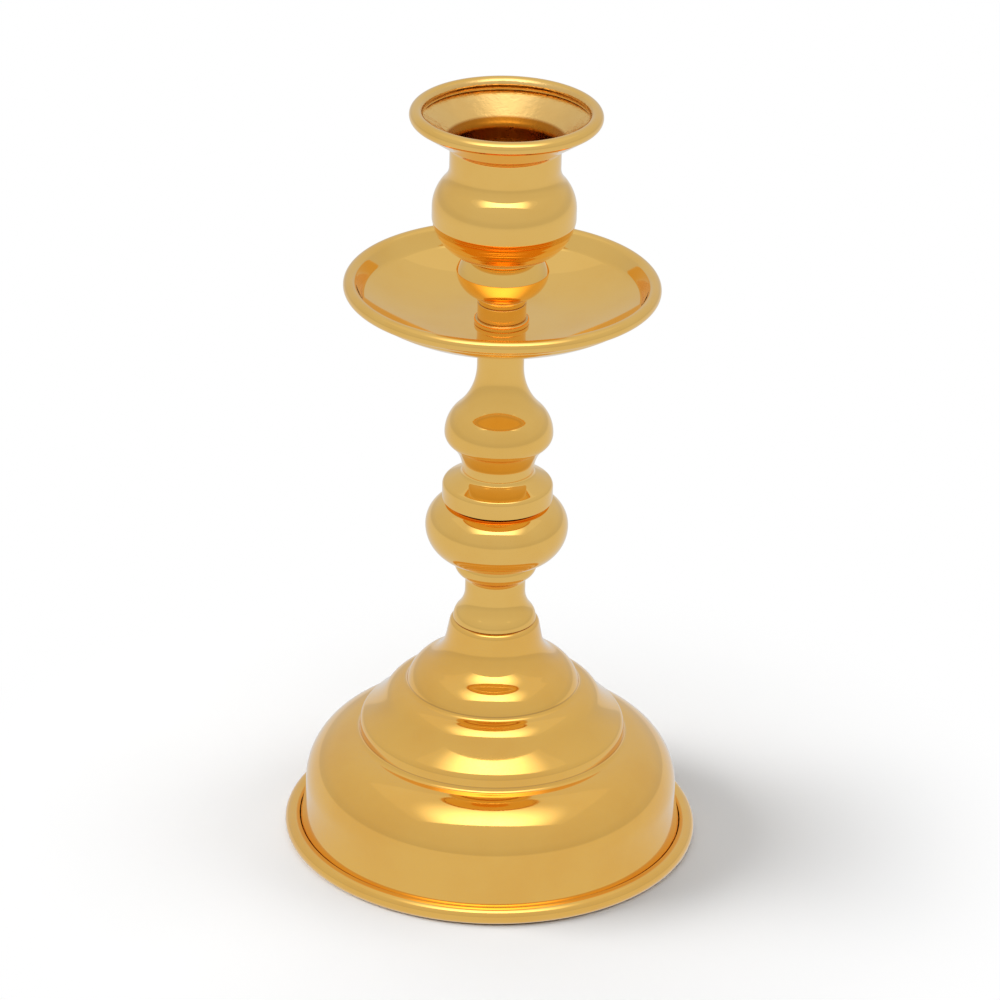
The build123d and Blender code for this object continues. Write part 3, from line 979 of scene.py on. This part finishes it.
def makeRod(material):
    bottom = low(rod["node"])
    top = high(rod["node"])
    bm = bmesh.new()
    makeThread(bm, bottom, bottom + rod["threadLength"])
    makeThread(bm, top - rod["threadLength"], top)
    bmesh.ops.create_cone(
        bm,
        cap_ends=True,
        segments=rod["turnSteps"],
        radius1=rod["radius"],
        radius2=rod["radius"],
        depth=top - bottom - 2 * rod["threadLength"],
        matrix=Matrix.Translation((0, 0, (bottom + top) / 2)),
    )
    bmesh.ops.recalc_face_normals(bm, faces=bm.faces)
    finishPiece(bm, rod, material, smooth=False)


plated = steel("platedSteel", steelLook)
makeRod(plated)
for node in ("cup_washer", "cup_nut", "clamp_washer", "lock_washer", "base_nut"):
    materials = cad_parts[node].data.materials
    materials.clear()
    materials.append(plated)
print("clamp: nuts and washers plated")

# pale floor

floorLook = {
    "half": 6.0,
    "given": 0.62,  # as it lights other things
    "seen": 1.0,  # as the camera sees it
    "mirrored": 0.70,  # as the brass mirrors it
    "farMirrored": 0.60,
    "fade": (0.35, 3.0),  # metres from the stem, between those two
    "shadowReach": (0.07, 0.15),  # beyond this it is even, with no shadow on it
}


def seenRays(nodes):
    # rays from the camera, and those that a piece mirrors or lets through to it
    kinds = ("Is Camera Ray", "Is Glossy Ray", "Is Transmission Ray", "Diffuse Depth")
    camera, glossy, through, depth = nodes.make("LightPath", kinds)
    return camera, (glossy + through) * nodes.span(depth, 0.0, 1.0, 1.0, 0.0)


def makeFloor():
    bm = bmesh.new()
    bmesh.ops.create_grid(bm, x_segments=1, y_segments=1, size=floorLook["half"])
    material, nodes = newMaterial("paleFloor")
    camera, mirrored = seenRays(nodes)
    plain = 1 - camera - mirrored
    place = nodes.make("TexCoord", "Object")
    away = nodes.make("VectorMath", "Value", {"operation": "LENGTH"}, {0: place})
    mirror = nodes.span(away, *floorLook["fade"], floorLook["mirrored"], floorLook["farMirrored"])
    shown = camera * floorLook["seen"] + mirrored * mirror
    near = nodes.make("BsdfDiffuse", "BSDF", None, {"Color": shown + plain * floorLook["given"]})
    far = nodes.make("Emission", "Emission", None, {"Color": shown, "Strength": 1.0})
    share = nodes.span(away, *floorLook["shadowReach"]) * camera + mirrored
    pale = nodes.make("MixShader", "Shader", None, {0: share, 1: near, 2: far})
    below = nodes.make("NewGeometry", "Backfacing")  # clear from below, so the underside shows
    clear = nodes.make("BsdfTransparent", "BSDF")
    shader = nodes.make("MixShader", "Shader", None, {0: below, 1: pale, 2: clear})
    nodes.make("OutputMaterial", None, None, {"Surface": shader})
    floor = addObject(bm, "paleFloor", material)


makeFloor()
print("floor: made")

# soft studio light

room = {
    "horizon": (0.59, 0.59, 0.59, 1),
    "wall": (0.64, 0.64, 0.64, 1),
    "ceiling": (0.68, 0.68, 0.68, 1),
    "given": (0.04, 0.04, 0.04, 1),  # as it lights the floor
    "seen": (1, 1, 1, 1),  # as the camera sees it
    "wallRise": (0.0, 0.3),  # sine of the elevation, from horizon to wall
    "ceilingRise": (0.3, 0.9),
}
softBox = {
    "name": "softBoxAbove",
    "place": (0.0, -0.05, 1.15),
    "aim": (0.0, 0.0, 0.1),
    "width": 1.9,
    "depth": 1.3,
    "radiance": 1.0,
    "panel": 0.05,  # brightness of its edges
    "core": 1.9,  # added at the middle of its front edge
    "coreAt": (0.5, 0.05),  # across and along, as shares of the lamp
    "coreSize": (0.47, 0.75),
    "coreFade": (0.1, 1.0),  # share of that size where it starts to fade and is gone
}
# these show only by their shadows
keys = (
    {
        "name": "softKey",
        "place": (-1.1, 0.04, 0.65),
        "aim": (0.0, 0.0, 0.0),
        "width": 0.9,
        "depth": 0.7,
        "radiance": 8.4,
    },
    {
        "name": "fillRight",
        "place": (1.0, 0.1, 0.55),
        "aim": (0.0, 0.0, 0.0),
        "width": 1.0,
        "depth": 0.8,
        "radiance": 2.2,
    },
    {
        "name": "fillBehind",
        "place": (0.0, 1.0, 0.6),
        "aim": (0.0, 0.0, 0.0),
        "width": 1.2,
        "depth": 0.8,
        "radiance": 1.2,
    },
)


def makeRoom():
    world = bpy.data.worlds.new("studioRoom")
    world.use_nodes = True
    scene.world = world
    nodes = NodeMaker(world.node_tree)
    way = nodes.make("TexCoord", "Generated")
    up = nodes.make("SeparateXYZ", "Z", None, {"Vector": way})
    wall = nodes.blend(nodes.span(up, *room["wallRise"]), room["horizon"], room["wall"])
    around = nodes.blend(nodes.span(up, *room["ceilingRise"]), wall, room["ceiling"])
    camera, mirrored = seenRays(nodes)
    shown = nodes.blend(camera, nodes.blend(mirrored, room["given"], around), room["seen"])
    light = nodes.make("Background", "Background", None, {"Color": shown, "Strength": 1.0})
    nodes.make("OutputWorld", None, None, {"Surface": light})


def makeLamp(lamp):
    data = bpy.data.lights.new(lamp["name"], "AREA")
    data.shape = "RECTANGLE"
    data.size = lamp["width"]
    data.size_y = lamp["depth"]
    data.energy = lamp["radiance"] * pi * lamp["width"] * lamp["depth"]
    made = bpy.data.objects.new(lamp["name"], data)
    scene.collection.objects.link(made)
    made.location = lamp["place"]
    made.rotation_mode = "QUATERNION"
    ahead = Vector(lamp["aim"]) - Vector(lamp["place"])
    made.rotation_quaternion = ahead.to_track_quat("-Z", "Y")
    return made


def gradeLamp(made, lamp):
    # brightest at one spot of the lamp, fading to the panel round it
    made.data.use_nodes = True
    nodes = NodeMaker(made.data.node_tree)
    across = nodes.make("NewGeometry", "Parametric")
    u, v = nodes.make("SeparateXYZ", ("X", "Y"), None, {"Vector": across})
    aside = (u - lamp["coreAt"][0]) / lamp["coreSize"][0]
    along = (v - lamp["coreAt"][1]) / lamp["coreSize"][1]
    away = (aside * aside + along * along) ** 0.5
    glow = nodes.span(away, *lamp["coreFade"], lamp["core"], 0.0) + lamp["panel"]
    light = nodes.make("Emission", "Emission", None, {"Color": glow, "Strength": 1.0})
    nodes.make("OutputLight", None, None, {"Surface": light})


makeRoom()
gradeLamp(makeLamp(softBox), softBox)
for key in keys:
    makeLamp(key).visible_glossy = False
print("light: room, soft box and keys")

# camera at the photograph's angle

view = {
    "target": (0.0007, 0.0, 0.0938),
    "distance": 1.374,
    "elevation": 25.54,
    "roll": 1.4,  # the photographed stem leans to the right
    "lens": 195.2,
    "sensor": 36.0,
    "clip": (0.05, 20.0),
}


def makeCamera():
    data = bpy.data.cameras.new("photoView")
    data.lens = view["lens"]
    data.sensor_width = view["sensor"]
    data.clip_start, data.clip_end = view["clip"]
    camera = bpy.data.objects.new("photoView", data)
    scene.collection.objects.link(camera)
    tilt = radians(view["elevation"])
    back = Vector((0, -cos(tilt), sin(tilt)))
    camera.location = Vector(view["target"]) + back * view["distance"]
    camera.rotation_mode = "QUATERNION"
    aim = (-back).to_track_quat("-Z", "Y")
    camera.rotation_quaternion = aim @ Quaternion((0, 0, 1), radians(view["roll"]))
    scene.camera = camera


makeCamera()
print("camera: set")
